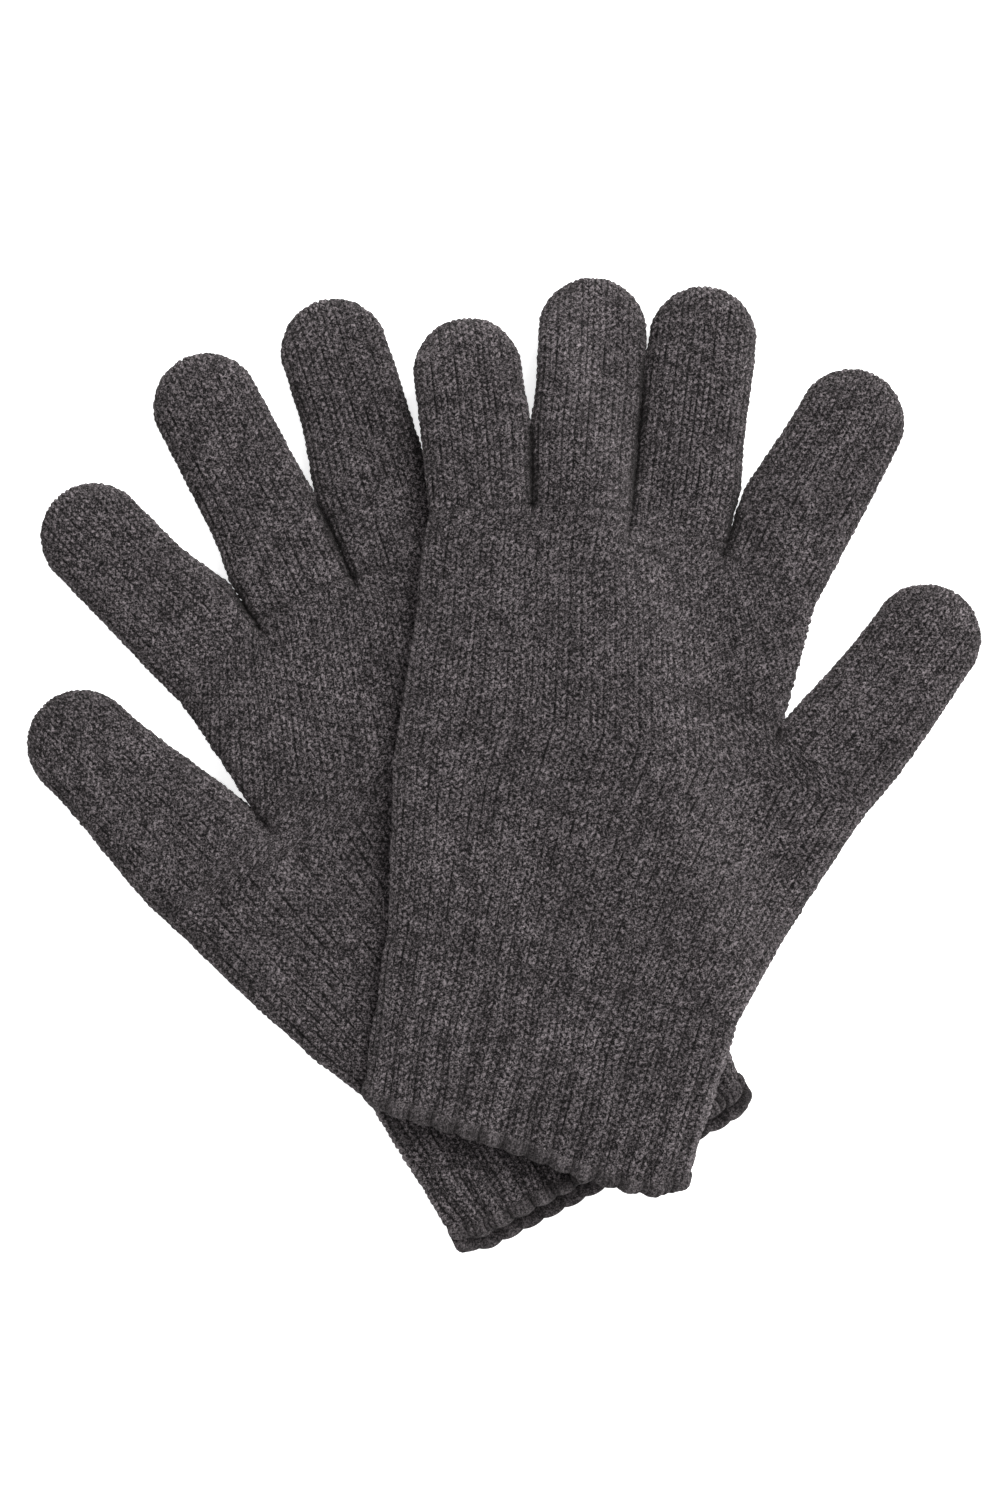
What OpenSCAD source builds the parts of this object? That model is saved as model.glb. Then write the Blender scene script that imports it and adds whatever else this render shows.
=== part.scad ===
// A pair of knitted five-finger gloves. The left glove lies on the right one and crosses it.
// Row frame: the table is Z = 0, the fingers point to +Y, the origin is under the pair's middle.
// Glove frame: the origin is the middle of the cuff's edge, +Y runs to the fingers and +X to the thumb.

/* [Knit] */
// Height of a glove lying flat, from its palm to its back
glove_t = 9; // [8:0.5:10]
// Thickness of one layer of knit
knit_t = 1.4; // [1:0.1:1.6]
// Height that the left glove is raised by the right one under it
stack_h = 9.8; // [9.8:0.1:12]

/* [Fingers] */
// Width of a finger near its tip
finger_w = 27.5; // [25:0.5:28]
// Width of a thumb near its tip
thumb_w = 28; // [26:0.5:29]
// Slit between a finger and the hand, where the finger folds
fold_gap = 0.6; // [0.5:0.1:1]
// Slit at the two fingers that can only shift sideways
swing_gap = 1.6; // [1.4:0.1:2]

/* [Cuff] */
// Length of the cuff along the wrist, hem included
cuff_l = 47; // [44:1:49]
// Half of the cuff's width at its hem
hem_half = 44; // [42:0.5:45]
// Half of the glove's width where the cuff meets the hand
wrist_half = 48.5; // [47:0.5:49]
// Width of the overlocked hem
welt_l = 3.5; // [3:0.5:5]
// Number of rounds of elastic yarn in the cuff
elastic_rounds = 3; // [1:1:5]

/* [Hidden] */

// Where each glove lies: x and y of its cuff's middle, its turn, and 1 for left or -1 for right.
LEFT = [5, -103, -15, 1];
RIGHT = [26, -111, 27.5, -1];

// Digits in the glove frame: root x and y, direction at the root and at the tip, length, root width.
THUMB = 0;
INDEX = 1;
MIDDLE = 2;
RING = 3;
LITTLE = 4;
LEFT_DIGITS = [
    [51.5, 119, 27, 17, 59, 32],
    [24, 165, 13, 12, 61.5, 27.6],
    [-3, 170, -6, -10, 67, 26.4],
    [-30, 170, -11, -12, 62, 26.4],
    [-56, 163, -20, -22, 50.5, 27]
];
RIGHT_DIGITS = [
    [55.5, 122, 19, 19, 63, 37],
    [28.5, 171, 17, 17, 61.5, 28.4],
    [0, 176, -2, 1, 71.5, 28],
    [-28, 172, -10.5, -9, 73.5, 27.2],
    [-54, 163, -20, -22, 51, 26.4]
];

// Outline of each glove on the little finger's side and on the thumb's side, as y and x.
LEFT_EDGES = [
    [[0, -hem_half - 1.5], [cuff_l, -wrist_half - 2], [92, -61], [125, -64.5], [160, -68]],
    [[0, hem_half - 1], [cuff_l, wrist_half - 3], [70, 52], [92, 59], [116, 68]]
];
RIGHT_EDGES = [
    [[0, -hem_half], [cuff_l, -wrist_half], [92, -60], [125, -66], [160, -69]],
    [[0, hem_half - 1.5], [cuff_l, wrist_half - 2], [65, 55], [92, 65], [116, 76]]
];

// Parts of the right glove that hold the left one up.
little_rest = 17;
little_fall = 26;
ring_rest = 13.5;
ring_fall = 14;
palm_rest = 3;
palm_fall = 30;
hem_fall = 30;

// Grid of the hand: rows along it, rows that bound the thumb's opening, points in a side's round.
HAND_ROWS = 11;
HOLE_FROM = 4;
HOLE_TO = 7;
ROUND_POINTS = 4;
CUFF_ROWS = 5;
CUFF_POINTS = 12;
SECTION_POINTS = 18;
STRAIGHT_ROWS = 6;
DOME = [0, 20, 40, 57, 71, 82];
tip_flatness = 0.42;

side_r = glove_t / 2;
thread_r = 0.35;
tack_r = 0.9;
knit_colour = "#4b4749";
yarn_colour = "#3d3a3b";

function smooth(t) = t <= 0 ? 0 : t >= 1 ? 1 : t * t * (3 - 2 * t);
function held(outside, fall) = 1 - smooth(outside / fall);
function mix(a, b, f) = a + (b - a) * f;
function turned(p, a) = [p.x * cos(a) - p.y * sin(a), p.x * sin(a) + p.y * cos(a)];
function placed(glove, p) =
    [glove[0], glove[1]] + turned([glove[3] * p.x, p.y], glove[2]);
function unplaced(glove, q) =
    let(p = turned(q - [glove[0], glove[1]], -glove[2])) [glove[3] * p.x, p.y];

// A digit's middle line at a length s from its root, and the direction there.
function heading(d, s) = mix(d[2], d[3], s / d[4]);
function along(d, s) =
    let(a = mix(d[2], heading(d, s), 0.5)) [d[0] + s * sin(a), d[1] + s * cos(a)];
function across(a) = [cos(a), -sin(a)];

// Height of the left glove's underside: it lies on the right glove and falls to the table beside it.
function gap_to(p, a, b) =
    let(f = max(0, min(1, (p - a) * (b - a) / ((b - a) * (b - a))))) norm(p - mix(a, b, f));
function digit_gap(p, d) = gap_to(p, along(d, 0), along(d, d[4] - finger_w / 2));
function rest_height(q) =
    let(
        p = unplaced(RIGHT, q),
        palm = held(lookup(p.y, RIGHT_EDGES[0]) - palm_rest - p.x, palm_fall)
            * held(-p.y, hem_fall) * held(p.y - 172, palm_fall),
        little = held(digit_gap(p, RIGHT_DIGITS[LITTLE]) - little_rest, little_fall),
        ring = held(digit_gap(p, RIGHT_DIGITS[RING]) - ring_rest, ring_fall)
    ) stack_h * (1 - (1 - palm) * (1 - little) * (1 - ring));
function edges(glove) = glove[3] > 0 ? LEFT_EDGES : RIGHT_EDGES;
function base_height(glove, q) = glove[3] > 0 ? rest_height(q) : 0;
function point(glove, p, z) =
    let(q = placed(glove, p)) [q.x, q.y, z + base_height(glove, q)];

// Triangles of a band between two rows of a closed grid, and of the rim between two skins.
function quad(a, b, c, d) = [[a, b, c], [a, c, d]];
function joined(lists) = [for (list = lists) for (item = list) item];
function flipped(faces) = [for (f = faces) [f[2], f[1], f[0]]];
function band(first, n, j) = joined([
    for (i = [0:n - 1]) let(k = (i + 1) % n)
        quad(first + j * n + i, first + (j + 1) * n + i, first + (j + 1) * n + k, first + j * n + k)
]);
function rim(outer, inner, n) = joined([
    for (i = [0:n - 1]) let(k = (i + 1) % n)
        quad(outer + i, outer + k, inner + k, inner + i)
]);
function fan(first, n, tip) =
    [for (i = [0:n - 1]) [first + i, tip, first + (i + 1) % n]];

// A knitted tube that is open at both ends.
module open_tube(glove, outer, inner) {
    n = len(outer[0]);
    rows = len(outer);
    in = rows * n;
    faces = concat(
        joined([for (j = [0:rows - 2]) band(0, n, j)]),
        flipped(joined([for (j = [0:rows - 2]) band(in, n, j)])),
        rim(0, in, n),
        flipped(rim((rows - 1) * n, in + (rows - 1) * n, n))
    );
    polyhedron(
        joined(concat(outer, inner)),
        glove[3] > 0 ? flipped(faces) : faces
    );
}

// A knitted tube that is open at its root and closed at its tip.
module closed_tube(glove, outer, inner, outer_tip, inner_tip) {
    n = len(outer[0]);
    rows = len(outer);
    in = rows * n + 1;
    faces = concat(
        joined([for (j = [0:rows - 2]) band(0, n, j)]),
        fan((rows - 1) * n, n, rows * n),
        flipped(joined([for (j = [0:rows - 2]) band(in, n, j)])),
        flipped(fan(in + (rows - 1) * n, n, in + rows * n)),
        rim(0, in, n)
    );
    polyhedron(
        concat(joined(outer), [outer_tip], joined(inner), [inner_tip]),
        glove[3] > 0 ? flipped(faces) : faces
    );
}

// Cross-section of a digit, from -1 to 1 across and 0 to 1 up, with a flat palm and back.
function eased(v, power) = sign(v) * pow(abs(v), power);
SECTION = [
    for (i = [0:SECTION_POINTS - 1]) let(t = 360 * (i + 0.5) / SECTION_POINTS)
        [eased(cos(t), 0.72), (1 + max(-1, min(1, 1.14 * eased(sin(t), 0.8)))) / 2]
];
function digit_ring(glove, d, station) = [
    for (u = SECTION)
        point(
            glove,
            along(d, station[0]) + station[1] * u.x * across(heading(d, station[0])),
            station[3] + station[2] * u.y
        )
];

// Stations of a digit's skin: length along it, half width, height and bottom. k is the skin's depth.
function half_width(d, tip_w, s) = mix(d[5], tip_w, smooth(s / (0.8 * d[4]))) / 2;
function dome_height(f) = tip_flatness + (1 - tip_flatness) * cos(f);
function stations(d, tip_w, start, k) =
    let(neck = d[4] - tip_w / 2, r = tip_w / 2 - k, t = glove_t - 2 * k)
    concat(
        [
            for (i = [0:STRAIGHT_ROWS - 1]) let(s = mix(start, neck, i / STRAIGHT_ROWS))
                [s, half_width(d, tip_w, s) - k, t, k]
        ],
        [
            for (f = DOME)
                [neck + r * sin(f), r * cos(f), t * dome_height(f), k + t * (1 - dome_height(f)) / 3]
        ]
    );
function tip_point(glove, d, k) =
    point(glove, along(d, d[4] - k), k + (glove_t - 2 * k) * (0.5 - (1 - tip_flatness) / 6));
module digit(glove, d, tip_w, start) {
    color(knit_colour)
        closed_tube(
            glove,
            [for (s = stations(d, tip_w, start, 0)) digit_ring(glove, d, s)],
            [for (s = stations(d, tip_w, start, knit_t)) digit_ring(glove, d, s)],
            tip_point(glove, d, 0),
            tip_point(glove, d, knit_t)
        );
}

// The yarn that gathers a fingertip: a small ring inside the tip and its short tail.
module tip_yarn(glove, d, tip_w) {
    s = d[4] - tip_w / 3;
    a = heading(d, s);
    ring_r = 1.6;
    tail_l = 7;
    color(yarn_colour)
        translate(point(glove, along(d, s), glove_t * 0.46))
            rotate([0, 0, glove[2] - glove[3] * a])
                rotate([-90, 0, 0])
                    union() {
                        rotate_extrude($fn = 24)
                            translate([ring_r, 0])
                                circle(r = thread_r, $fn = 16);
                        translate([ring_r, 0, -tail_l])
                            cylinder(r = thread_r, h = tail_l, $fn = 16);
                    }
}

// The hand's open edge: five points across each finger's root, held in by the side's round at the ends.
function root_line(d) = [for (f = [-1, -0.5, 0, 0.5, 1]) [d[0], d[1]] + f * d[5] / 2 * across(d[2])];
function knuckles(digits) =
    let(line = joined([for (i = [LITTLE, RING, MIDDLE, INDEX]) root_line(digits[i])]))
    [
        for (i = [0:len(line) - 1])
            i == 0 ? line[i] + side_r * across(digits[LITTLE][2])
            : i == len(line) - 1 ? line[i] - side_r * across(digits[INDEX][2])
            : line[i]
    ];

// Both ends of each row of the hand's grid, inside the round of each side.
function little_side(glove, digits, j) =
    let(top = knuckles(digits)[0], y = mix(cuff_l, top.y, j / (HAND_ROWS - 1)))
    j == HAND_ROWS - 1 ? top : [lookup(y, edges(glove)[0]) + side_r, y];
function thumb_side(glove, digits, j) =
    let(
        d = digits[THUMB],
        root = [d[0], d[1]],
        low = root + (d[5] / 2 - side_r) * across(d[2]),
        high = root - (d[5] / 2 + side_r / cos(d[2])) * across(d[2]),
        top = knuckles(digits)[19],
        y = mix(cuff_l, low.y, j / HOLE_FROM)
    )
    j < HOLE_FROM ? [mix(lookup(y, edges(glove)[1]) - side_r, low.x, pow(j / HOLE_FROM, 3)), y]
    : j <= HOLE_TO ? mix(low, high, (j - HOLE_FROM) / (HOLE_TO - HOLE_FROM))
    : mix(high, top, (j - HOLE_TO) / (HAND_ROWS - 1 - HOLE_TO));
function hand_row(glove, digits, j) =
    let(
        a = little_side(glove, digits, j),
        b = thumb_side(glove, digits, j),
        top = knuckles(digits),
        first = top[0],
        last = top[19],
        pull = smooth((j - HOLE_FROM) / (HAND_ROWS - 1 - HOLE_FROM))
    )
    [
        for (k = top) let(f = (k.x - first.x) / (last.x - first.x))
            mix(a, b, f) + pull * (k - mix(first, last, f))
    ];
function side_turn(digits, j) =
    j <= HOLE_FROM ? digits[THUMB][2] * j / HOLE_FROM
    : j <= HOLE_TO ? 0
    : digits[INDEX][2] * (j - HOLE_TO) / (HAND_ROWS - 1 - HOLE_TO);
function side_round(glove, p, out, r, from) = [
    for (i = [1:ROUND_POINTS]) let(a = from + 180 * i / (ROUND_POINTS + 1))
        point(glove, p + r * cos(a) * out, side_r + r * sin(a))
];

// A flat ring of points: the palm, one side's round, the back and the other side's round.
function flat_ring(glove, row, thumb_turn, little_turn, k) =
    let(n = len(row), r = side_r - k)
    concat(
        [for (p = row) point(glove, p, k)],
        side_round(glove, row[n - 1], across(thumb_turn), r, -90),
        [for (i = [0:n - 1]) point(glove, row[n - 1 - i], glove_t - k)],
        side_round(glove, row[0], across(little_turn), r, 90)
    );
function hand_ring(glove, digits, j, k) =
    flat_ring(
        glove, hand_row(glove, digits, j), side_turn(digits, j),
        digits[LITTLE][2] * pow(j / (HAND_ROWS - 1), 4), k
    );

// The hand: a flat tube, open at the cuff, at the four fingers and, in its side, at the thumb.
module hand(glove, digits) {
    outer = [for (j = [0:HAND_ROWS - 1]) hand_ring(glove, digits, j, 0)];
    inner = [for (j = [0:HAND_ROWS - 1]) hand_ring(glove, digits, j, knit_t)];
    n = len(outer[0]);
    in = HAND_ROWS * n;
    last = (HAND_ROWS - 1) * n;
    low = 19;
    high = low + ROUND_POINTS + 1;
    skin = [
        for (j = [0:HAND_ROWS - 2]) for (i = [0:n - 1])
            if (j < HOLE_FROM || j >= HOLE_TO || i < low || i >= high)
                let(k = (i + 1) % n) [j * n + i, (j + 1) * n + i, (j + 1) * n + k, j * n + k]
    ];
    ends = [
        for (i = [low:high - 1])
            each concat(
                quad(HOLE_FROM * n + i, in + HOLE_FROM * n + i,
                    in + HOLE_FROM * n + i + 1, HOLE_FROM * n + i + 1),
                quad(HOLE_TO * n + i, HOLE_TO * n + i + 1,
                    in + HOLE_TO * n + i + 1, in + HOLE_TO * n + i)
            )
    ];
    lips = [
        for (j = [HOLE_FROM:HOLE_TO - 1])
            each concat(
                quad(j * n + low, (j + 1) * n + low, in + (j + 1) * n + low, in + j * n + low),
                quad(j * n + high, in + j * n + high, in + (j + 1) * n + high, (j + 1) * n + high)
            )
    ];
    faces = concat(
        joined([for (q = skin) quad(q[0], q[1], q[2], q[3])]),
        flipped(joined([for (q = skin) quad(in + q[0], in + q[1], in + q[2], in + q[3])])),
        rim(0, in, n),
        flipped(rim(last, in + last, n)),
        ends,
        lips
    );
    color(knit_colour)
        polyhedron(joined(concat(outer, inner)), glove[3] > 0 ? flipped(faces) : faces);
}

// Tubes around the wrist: the cuff, its hem and the elastic laid inside it.
function wrist_row(glove, y) =
    let(low = lookup(y, edges(glove)[0]) + side_r, high = lookup(y, edges(glove)[1]) - side_r)
    [for (i = [0:CUFF_POINTS]) [mix(low, high, i / CUFF_POINTS), y]];
module wrist_tube(glove, rows, depth, skin) {
    open_tube(
        glove,
        [for (y = rows) flat_ring(glove, wrist_row(glove, y), 0, 0, depth)],
        [for (y = rows) flat_ring(glove, wrist_row(glove, y), 0, 0, depth + skin)]
    );
}
module cuff(glove, gap) {
    color(knit_colour)
        wrist_tube(
            glove, [for (j = [0:CUFF_ROWS]) mix(welt_l, cuff_l - gap, j / CUFF_ROWS)], 0, knit_t
        );
}
module welt(glove) {
    color(yarn_colour) wrist_tube(glove, [0, welt_l / 2, welt_l], 0, knit_t + 0.4);
}
module cuff_elastic(glove) {
    for (i = [1:elastic_rounds]) {
        y = mix(welt_l, cuff_l, i / (elastic_rounds + 1));
        color(yarn_colour) wrist_tube(glove, [y, y + 0.8], knit_t + 0.1, 0.6);
    }
}

// Small posts of stitching that close the web at each crotch.
function crotches(digits) =
    let(line = knuckles(digits), t = digits[THUMB])
    concat(
        [for (i = [4, 9, 14]) mix(line[i], line[i + 1], 0.5) - [0, 3]],
        [[t[0], t[1]] - (t[5] / 2 + 3) * across(t[2]) - [1, 1]]
    );
module crotch_tacks(glove, digits) {
    for (p = crotches(digits))
        color(yarn_colour)
            translate(point(glove, p, knit_t / 2))
                cylinder(r = tack_r, h = glove_t - knit_t, $fn = 20);
}

module right_hand() { hand(RIGHT, RIGHT_DIGITS); }
module right_cuff() { cuff(RIGHT, 0); }
module right_welt() { welt(RIGHT); }
module right_cuff_elastic() { cuff_elastic(RIGHT); }
module right_crotch_tacks() { crotch_tacks(RIGHT, RIGHT_DIGITS); }
module right_thumb() { digit(RIGHT, RIGHT_DIGITS[THUMB], thumb_w, fold_gap); }
module right_index() { digit(RIGHT, RIGHT_DIGITS[INDEX], finger_w, fold_gap); }
module right_middle() { digit(RIGHT, RIGHT_DIGITS[MIDDLE], finger_w, fold_gap); }
module right_ring() { digit(RIGHT, RIGHT_DIGITS[RING], finger_w, swing_gap); }
module right_little() { digit(RIGHT, RIGHT_DIGITS[LITTLE], finger_w, swing_gap); }
module right_thumb_tip_yarn() { tip_yarn(RIGHT, RIGHT_DIGITS[THUMB], thumb_w); }
module right_index_tip_yarn() { tip_yarn(RIGHT, RIGHT_DIGITS[INDEX], finger_w); }
module right_middle_tip_yarn() { tip_yarn(RIGHT, RIGHT_DIGITS[MIDDLE], finger_w); }
module right_ring_tip_yarn() { tip_yarn(RIGHT, RIGHT_DIGITS[RING], finger_w); }
module right_little_tip_yarn() { tip_yarn(RIGHT, RIGHT_DIGITS[LITTLE], finger_w); }
module left_hand() { hand(LEFT, LEFT_DIGITS); }
module left_cuff() { cuff(LEFT, fold_gap); }
module left_welt() { welt(LEFT); }
module left_cuff_elastic() { cuff_elastic(LEFT); }
module left_crotch_tacks() { crotch_tacks(LEFT, LEFT_DIGITS); }
module left_thumb() { digit(LEFT, LEFT_DIGITS[THUMB], thumb_w, fold_gap); }
module left_index() { digit(LEFT, LEFT_DIGITS[INDEX], finger_w, fold_gap); }
module left_middle() { digit(LEFT, LEFT_DIGITS[MIDDLE], finger_w, fold_gap); }
module left_ring() { digit(LEFT, LEFT_DIGITS[RING], finger_w, fold_gap); }
module left_little() { digit(LEFT, LEFT_DIGITS[LITTLE], finger_w, fold_gap); }
module left_thumb_tip_yarn() { tip_yarn(LEFT, LEFT_DIGITS[THUMB], thumb_w); }
module left_index_tip_yarn() { tip_yarn(LEFT, LEFT_DIGITS[INDEX], finger_w); }
module left_middle_tip_yarn() { tip_yarn(LEFT, LEFT_DIGITS[MIDDLE], finger_w); }
module left_ring_tip_yarn() { tip_yarn(LEFT, LEFT_DIGITS[RING], finger_w); }
module left_little_tip_yarn() { tip_yarn(LEFT, LEFT_DIGITS[LITTLE], finger_w); }

right_hand();
right_cuff();
right_welt();
right_cuff_elastic();
right_crotch_tacks();
right_thumb();
right_index();
right_middle();
right_ring();
right_little();
right_thumb_tip_yarn();
right_index_tip_yarn();
right_middle_tip_yarn();
right_ring_tip_yarn();
right_little_tip_yarn();
left_hand();
left_cuff();
left_welt();
left_cuff_elastic();
left_crotch_tacks();
left_thumb();
left_index();
left_middle();
left_ring();
left_little();
left_thumb_tip_yarn();
left_index_tip_yarn();
left_middle_tip_yarn();
left_ring_tip_yarn();
left_little_tip_yarn();
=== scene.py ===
import math
from collections import namedtuple

import bpy
import numpy as np
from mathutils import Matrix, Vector


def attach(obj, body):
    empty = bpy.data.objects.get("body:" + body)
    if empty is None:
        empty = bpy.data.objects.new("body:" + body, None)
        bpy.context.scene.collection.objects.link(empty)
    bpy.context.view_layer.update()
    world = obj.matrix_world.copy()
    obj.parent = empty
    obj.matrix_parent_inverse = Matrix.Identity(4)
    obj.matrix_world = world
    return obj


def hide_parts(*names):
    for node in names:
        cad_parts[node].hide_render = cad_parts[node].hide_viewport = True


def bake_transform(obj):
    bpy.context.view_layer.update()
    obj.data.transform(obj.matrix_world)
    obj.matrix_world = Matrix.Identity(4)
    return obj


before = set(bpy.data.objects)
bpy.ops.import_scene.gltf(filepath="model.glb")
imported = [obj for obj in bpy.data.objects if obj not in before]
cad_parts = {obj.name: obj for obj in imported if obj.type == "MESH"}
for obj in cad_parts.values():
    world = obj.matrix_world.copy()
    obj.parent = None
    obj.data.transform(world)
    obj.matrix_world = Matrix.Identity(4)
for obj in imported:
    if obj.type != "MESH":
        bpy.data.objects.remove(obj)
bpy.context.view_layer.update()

bl_info = {
    "name": "Knitted gloves",
    "version": (1, 0, 0),
    "blender": (4, 5, 0),
    "location": "3D View > Sidebar > Gloves",
    "description": "Makes a pair of knitted gloves around its packed frame",
    "category": "Object",
}

MM = 0.001

# The layout repeats the part's source, in millimetres and degrees.
# Where each glove lies: its cuff's middle, its turn, and a mirror of 1 for left or -1 for right.
Place = namedtuple("Place", "x y turn mirror")
PLACES = {
    "left": Place(5.0, -103.0, -15.0, 1.0),
    "right": Place(26.0, -111.0, 27.5, -1.0),
}
DIGIT_NAMES = ("thumb", "index", "middle", "ring", "little")
# A digit's root, its direction there and at the tip, its length and its width at the root.
Digit = namedtuple("Digit", "x y turn tip_turn length width")
DIGITS = {
    "left": {
        "thumb": Digit(51.5, 119, 27, 17, 59, 32),
        "index": Digit(24, 165, 13, 12, 61.5, 27.6),
        "middle": Digit(-3, 170, -6, -10, 67, 26.4),
        "ring": Digit(-30, 170, -11, -12, 62, 26.4),
        "little": Digit(-56, 163, -20, -22, 50.5, 27),
    },
    "right": {
        "thumb": Digit(55.5, 122, 19, 19, 63, 37),
        "index": Digit(28.5, 171, 17, 17, 61.5, 28.4),
        "middle": Digit(0, 176, -2, 1, 71.5, 28),
        "ring": Digit(-28, 172, -10.5, -9, 73.5, 27.2),
        "little": Digit(-54, 163, -20, -22, 51, 26.4),
    },
}
# Outline on the little finger's side and on the thumb's side, as y and x.
EDGES = {
    "left": (
        ((0, -45.5), (47, -50.5), (92, -61), (125, -64.5), (160, -68)),
        ((0, 43), (47, 45.5), (70, 52), (92, 59), (116, 68)),
    ),
    "right": (
        ((0, -44), (47, -48.5), (92, -60), (125, -66), (160, -69)),
        ((0, 42.5), (47, 46.5), (65, 55), (92, 65), (116, 76)),
    ),
}
# Thickness of a glove that lies flat, and of its knit.
THICK = 9.0
KNIT = 1.4
# How far the left glove is raised where it lies on the right one.
STACK = 9.8
# Where the cuff meets the hand, and the height of the hem.
CUFF = 47.0
HEM = 3.5
# Width of each digit's round tip.
TIP = {"thumb": 28.0, "index": 27.5, "middle": 27.5, "ring": 27.5, "little": 27.5}
# How far in from a folded edge the two layers reach their full height.
EDGE_REACH = 9.0
# Rows of the mesh for each course of stitches.
COURSE_ROWS = 4


# ---- numbers and noise ----


def smooth(t):
    """Step from 0 to 1 with level ends."""
    t = np.clip(t, 0.0, 1.0)
    return t * t * (3 - 2 * t)


def mix(a, b, f):
    """a where f is 0 and b where it is 1."""
    return a + (b - a) * f


def waves(x, y, seed, size, count=9):
    """Smooth noise from -1 to 1 that repeats the same way each run; size is its wavelength."""
    rng = np.random.RandomState(seed)
    total = np.zeros_like(x)
    for _ in range(count):
        angle = rng.uniform(0, math.tau)
        step = math.tau / (size * rng.uniform(0.6, 1.6))
        total = total + np.sin((x * math.cos(angle) + y * math.sin(angle)) * step + rng.uniform(0, math.tau))
    return total / math.sqrt(count)


def scatter(a, b, seed):
    """A number from 0 to 1 for each pair of whole numbers."""
    v = np.sin(a * 12.9898 + b * 78.233 + seed * 37.719) * 43758.5453
    return v - np.floor(v)


# ---- where things lie ----


def placed(side, x, y):
    """From the glove's own plane to the table, in millimetres."""
    place = PLACES[side]
    a = math.radians(place.turn)
    x = place.mirror * x
    return place.x + x * math.cos(a) - y * math.sin(a), place.y + x * math.sin(a) + y * math.cos(a)


def unplaced(side, x, y):
    """From the table back to the glove's own plane."""
    place = PLACES[side]
    a = math.radians(-place.turn)
    x, y = x - place.x, y - place.y
    return place.mirror * (x * math.cos(a) - y * math.sin(a)), x * math.sin(a) + y * math.cos(a)


def along(d, s):
    """A digit's middle line at a length from its root."""
    a = np.radians(mix(d.turn, mix(d.turn, d.tip_turn, s / d.length), 0.5))
    return d.x + s * np.sin(a), d.y + s * np.cos(a)


def heading(d, s):
    """A digit's direction at a length from its root, in radians."""
    return np.radians(mix(d.turn, d.tip_turn, s / d.length))


def gap_to(x, y, a, b):
    """Distance from points to the stretch from a to b, and the share of it where they lie."""
    ux, uy = b[0] - a[0], b[1] - a[1]
    f = np.clip(((x - a[0]) * ux + (y - a[1]) * uy) / max(ux * ux + uy * uy, 1e-9), 0, 1)
    return np.hypot(x - a[0] - f * ux, y - a[1] - f * uy), f


def held(outside, fall):
    """1 inside an outline, and down to 0 over a distance outside it."""
    return 1 - smooth(outside / fall)


# The right palm's end, and the distance over which the left glove comes down beside it.
PALM_END = 172
PALM_FALL = 30
# How far from the middle line of each covered finger the left glove stays up, and then comes down.
HOLDS = (("little", 17, 26), ("ring", 13.5, 14))


def rest_height(side, x, y):
    """Height of a glove's underside at a point of its own plane: the left glove lies on the right one."""
    if side == "right":
        return np.zeros_like(x)
    px, py = unplaced("right", *placed("left", x, y))
    low = np.array(EDGES["right"][0], float)
    outside = np.interp(py, low[:, 0], low[:, 1]) - 3 - px
    palm = held(outside, PALM_FALL) * held(-py, PALM_FALL) * held(py - PALM_END, PALM_FALL)
    rise = 1 - palm
    for name, rest, fall in HOLDS:
        d = DIGITS["right"][name]
        gap, _ = gap_to(px, py, along(d, 0), along(d, d.length - TIP[name] / 2))
        rise = rise * (1 - held(gap - rest, fall))
    return STACK * (1 - rise)


def corners(d):
    """Both ends of a digit's root."""
    a = math.radians(d.turn)
    half = d.width / 2
    return (
        (d.x - half * math.cos(a), d.y + half * math.sin(a)),
        (d.x + half * math.cos(a), d.y - half * math.sin(a)),
    )


def knuckle_line(side):
    """Corners of the four finger roots, from the little finger's outer side to the index's."""
    line = []
    for name in ("little", "ring", "middle", "index"):
        line += corners(DIGITS[side][name])
    return np.array(line, float)


def pillow(gap):
    """Height of a folded edge, from 0 at the edge to 1 where both layers lie flat."""
    t = np.clip(gap / EDGE_REACH, 0, 1)
    return np.sqrt(np.clip(1 - (1 - t) ** 2.3, 0, 1))


# ---- stitches ----

# Mean height of the stitches, which two tubes share where they are knitted together.
GROUND = 0.55
# How far the hairy face of the knit stands outside the frame's outline.
NAP = 0.55


def stitches(wale, course, seed):
    """Relief of plain knit from 0 to 1: each stitch is a V of two plump legs."""
    wale = wale + 0.055 * waves(wale, course * 0.6, seed, 5.0)
    course = course + 0.11 * waves(wale, course * 0.6, seed + 1, 6.0)
    column = np.floor(wale)
    u = wale - column - 0.5
    lift = course - 1.75 * np.abs(u) + 0.12 * (scatter(column, column * 0, seed) - 0.5)
    row = np.floor(lift)
    v = lift - row - 0.5
    leg = np.abs(np.abs(u) - 0.25) * 4
    ground = np.where(np.abs(u) < 0.25, 0.4, 0.0)
    plump = ground + (1 - ground) * np.sqrt(np.clip(1 - leg**2.6, 0, 1))
    ridge = np.clip(1 - np.abs(2 * v) ** 2.4, 0, 1) ** 0.55
    odd = 0.82 + 0.36 * scatter(column + 0.5 * np.sign(u), row, seed)
    return plump * (0.15 + 0.85 * ridge) * odd


def lumps(x, y, seed):
    """Unevenness of the yarn, in millimetres."""
    return 0.09 * (0.5 * waves(x, y, seed, 7.0) + 0.3 * waves(x, y, seed + 1, 3.2))


def knit_face(relief, uneven, knit):
    """How far the knit's face stands outside the frame's outline, in millimetres."""
    return NAP + (relief - GROUND) * (knit.relief / MM) + uneven


def on_table(points):
    """The knit presses flat where it meets the table."""
    points[..., 2] = np.maximum(points[..., 2], 0.0)
    return points


# ---- meshes ----

# Stitch height that a plain inner wall is given, which sets how light it is.
INNER_CREST = 0.3


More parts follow.
